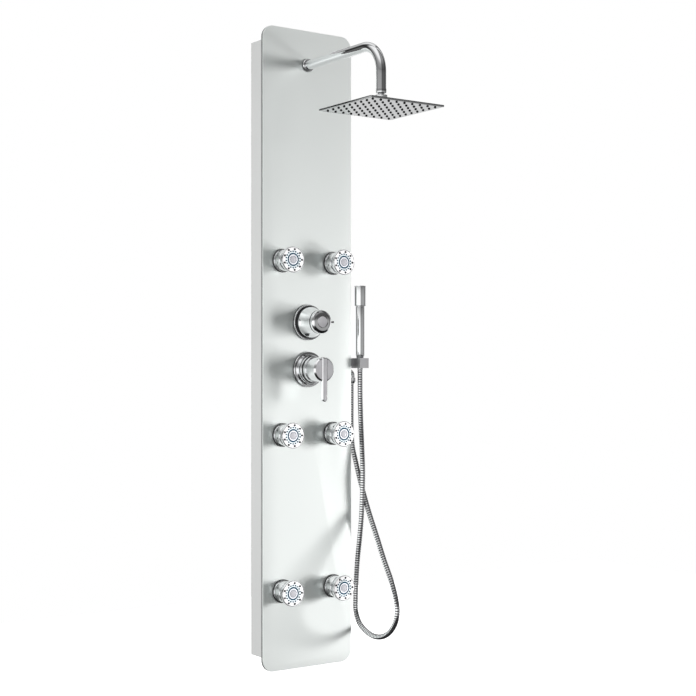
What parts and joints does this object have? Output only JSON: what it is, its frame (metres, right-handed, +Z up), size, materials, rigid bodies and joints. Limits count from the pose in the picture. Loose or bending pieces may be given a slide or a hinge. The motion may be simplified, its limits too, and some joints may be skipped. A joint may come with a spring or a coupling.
{
  "type": "wall-mounted rainfall shower column",
  "caption": "Tall flat shower panel with an overhead arm and square rain head, swivelling body jets, a diverter knob, a mixer lever and a stick hand shower on a metal hose.",
  "frame": {"origin": "the wall plane, at the middle of the panel's width and height: the back face of the centre wall bracket", "axes": "+Y into the wall, -Y towards the bather, +X to the bather's right, +Z up"},
  "size_m": [0.29, 0.446, 1.5],
  "materials": {
    "satin_panel": "satin, blurred reflections",
    "housing": "satin anodised",
    "zinc_steel": "zinc plated",
    "chrome": "polished",
    "jet_face": "polished with dark and blue-green nozzles",
    "head_steel": "polished",
    "silicone": "matt",
    "brass": "as cast, machined faces",
    "nylon": "matt",
    "grey_pipe": "satin",
    "braid": "woven wire braid",
    "hose_chrome": "ridged, polished"
  },
  "bodies": {
    "panel": {"front_panel": "satin_panel", "side_profile_left": "housing", "side_profile_right": "housing", "top_end_cap": "housing", "bottom_end_cap": "housing", "upper_wall_bracket": "zinc_steel", "centre_wall_bracket": "zinc_steel", "lower_wall_bracket": "zinc_steel", "shower_arm": "chrome", "arm_flange": "chrome", "arm_inlet_elbow": "brass", "rain_riser_pipe": "grey_pipe", "arm_ball_joint": "chrome", "diverter_valve_body": "brass", "diverter_cartridge": "brass", "diverter_escutcheon": "chrome", "mixer_valve_body": "brass", "mixer_cartridge": "brass", "mixer_escutcheon": "chrome", "mixer_to_diverter_pipe": "grey_pipe", "jet_manifold_left": "grey_pipe", "jet_manifold_right": "grey_pipe", "hot_inlet_hose": "braid", "cold_inlet_hose": "braid", "hand_shower_feed_pipe": "grey_pipe", "outlet_elbow": "chrome", "handset_holder": "chrome", "shower_hose": "hose_chrome", "hose_outlet_nut": "chrome", "jet_base_upper_left": "chrome", "jet_base_upper_right": "chrome", "jet_base_middle_left": "chrome", "jet_base_middle_right": "chrome", "jet_base_lower_left": "chrome", "jet_base_lower_right": "chrome"},
    "rain_head_tilt": {"ball_seat_ring": "nylon"},
    "rain_head_sway": {"ball_joint_nut": "chrome"},
    "rain_head": {"rain_head_shell": "head_steel", "rain_head_nozzle_mat": "silicone", "rain_head_face_plate": "head_steel"},
    "diverter_knob": {"diverter_knob": "chrome"},
    "mixer_handle": {"mixer_handle_collar": "chrome", "mixer_lever": "chrome"},
    "hose_nut": {"hose_cone_nut": "chrome"},
    "handset": {"handset_handle": "chrome", "handset_head": "chrome", "handset_spray_face": "silicone"},
    "jet_tilt_upper_left": {"jet_seat_upper_left": "nylon"},
    "jet_upper_left": {"jet_head_upper_left": "jet_face"},
    "jet_tilt_upper_right": {"jet_seat_upper_right": "nylon"},
    "jet_upper_right": {"jet_head_upper_right": "jet_face"},
    "jet_tilt_middle_left": {"jet_seat_middle_left": "nylon"},
    "jet_middle_left": {"jet_head_middle_left": "jet_face"},
    "jet_tilt_middle_right": {"jet_seat_middle_right": "nylon"},
    "jet_middle_right": {"jet_head_middle_right": "jet_face"},
    "jet_tilt_lower_left": {"jet_seat_lower_left": "nylon"},
    "jet_lower_left": {"jet_head_lower_left": "jet_face"},
    "jet_tilt_lower_right": {"jet_seat_lower_right": "nylon"},
    "jet_lower_right": {"jet_head_lower_right": "jet_face"}
  },
  "joints": [
    {"name": "rain_head_tilt_forward", "type": "hinge", "parent": "panel", "child": "rain_head_tilt", "pos_m": [0, -0.347, 0.545], "axis": [1, 0, 0], "range_deg": [-12, 12]},
    {"name": "rain_head_tilt_sideways", "type": "hinge", "parent": "rain_head_tilt", "child": "rain_head_sway", "pos_m": [0, -0.347, 0.545], "axis": [0, 1, 0], "range_deg": [-12, 12]},
    {"name": "rain_head_spin", "type": "hinge", "parent": "rain_head_sway", "child": "rain_head", "pos_m": [0, -0.347, 0.545], "axis": [0, 0, 1], "continuous": true},
    {"name": "diverter_turn", "type": "hinge", "parent": "panel", "child": "diverter_knob", "pos_m": [0, -0.094, 0.0624], "axis": [0, -1, 0], "range_deg": [-90, 90]},
    {"name": "mixer_turn", "type": "hinge", "parent": "panel", "child": "mixer_handle", "pos_m": [0, -0.109, -0.0485], "axis": [0, -1, 0], "range_deg": [0, 270]},
    {"name": "handset_lift", "type": "slide", "parent": "panel", "child": "hose_nut", "axis": [0, 0, 1], "range_m": [0, 0.03]},
    {"name": "handset_swivel", "type": "hinge", "parent": "hose_nut", "child": "handset", "pos_m": [0.151, -0.057, 0], "axis": [0, 0, 1], "continuous": true},
    {"name": "jet_upper_left_tilt", "type": "hinge", "parent": "panel", "child": "jet_tilt_upper_left", "pos_m": [-0.0715, -0.077, 0.205], "axis": [1, 0, 0], "range_deg": [-12, 12]},
    {"name": "jet_upper_left_pan", "type": "hinge", "parent": "jet_tilt_upper_left", "child": "jet_upper_left", "pos_m": [-0.0715, -0.077, 0.205], "axis": [0, 0, 1], "range_deg": [-12, 12]},
    {"name": "jet_upper_right_tilt", "type": "hinge", "parent": "panel", "child": "jet_tilt_upper_right", "pos_m": [0.0715, -0.077, 0.205], "axis": [1, 0, 0], "range_deg": [-12, 12]},
    {"name": "jet_upper_right_pan", "type": "hinge", "parent": "jet_tilt_upper_right", "child": "jet_upper_right", "pos_m": [0.0715, -0.077, 0.205], "axis": [0, 0, 1], "range_deg": [-12, 12]},
    {"name": "jet_middle_left_tilt", "type": "hinge", "parent": "panel", "child": "jet_tilt_middle_left", "pos_m": [-0.0715, -0.077, -0.201], "axis": [1, 0, 0], "range_deg": [-12, 12]},
    {"name": "jet_middle_left_pan", "type": "hinge", "parent": "jet_tilt_middle_left", "child": "jet_middle_left", "pos_m": [-0.0715, -0.077, -0.201], "axis": [0, 0, 1], "range_deg": [-12, 12]},
    {"name": "jet_middle_right_tilt", "type": "hinge", "parent": "panel", "child": "jet_tilt_middle_right", "pos_m": [0.0715, -0.077, -0.201], "axis": [1, 0, 0], "range_deg": [-12, 12]},
    {"name": "jet_middle_right_pan", "type": "hinge", "parent": "jet_tilt_middle_right", "child": "jet_middle_right", "pos_m": [0.0715, -0.077, -0.201], "axis": [0, 0, 1], "range_deg": [-12, 12]},
    {"name": "jet_lower_left_tilt", "type": "hinge", "parent": "panel", "child": "jet_tilt_lower_left", "pos_m": [-0.0715, -0.077, -0.565], "axis": [1, 0, 0], "range_deg": [-12, 12]},
    {"name": "jet_lower_left_pan", "type": "hinge", "parent": "jet_tilt_lower_left", "child": "jet_lower_left", "pos_m": [-0.0715, -0.077, -0.565], "axis": [0, 0, 1], "range_deg": [-12, 12]},
    {"name": "jet_lower_right_tilt", "type": "hinge", "parent": "panel", "child": "jet_tilt_lower_right", "pos_m": [0.0715, -0.077, -0.565], "axis": [1, 0, 0], "range_deg": [-12, 12]},
    {"name": "jet_lower_right_pan", "type": "hinge", "parent": "jet_tilt_lower_right", "child": "jet_lower_right", "pos_m": [0.0715, -0.077, -0.565], "axis": [0, 0, 1], "range_deg": [-12, 12]}
  ]
}
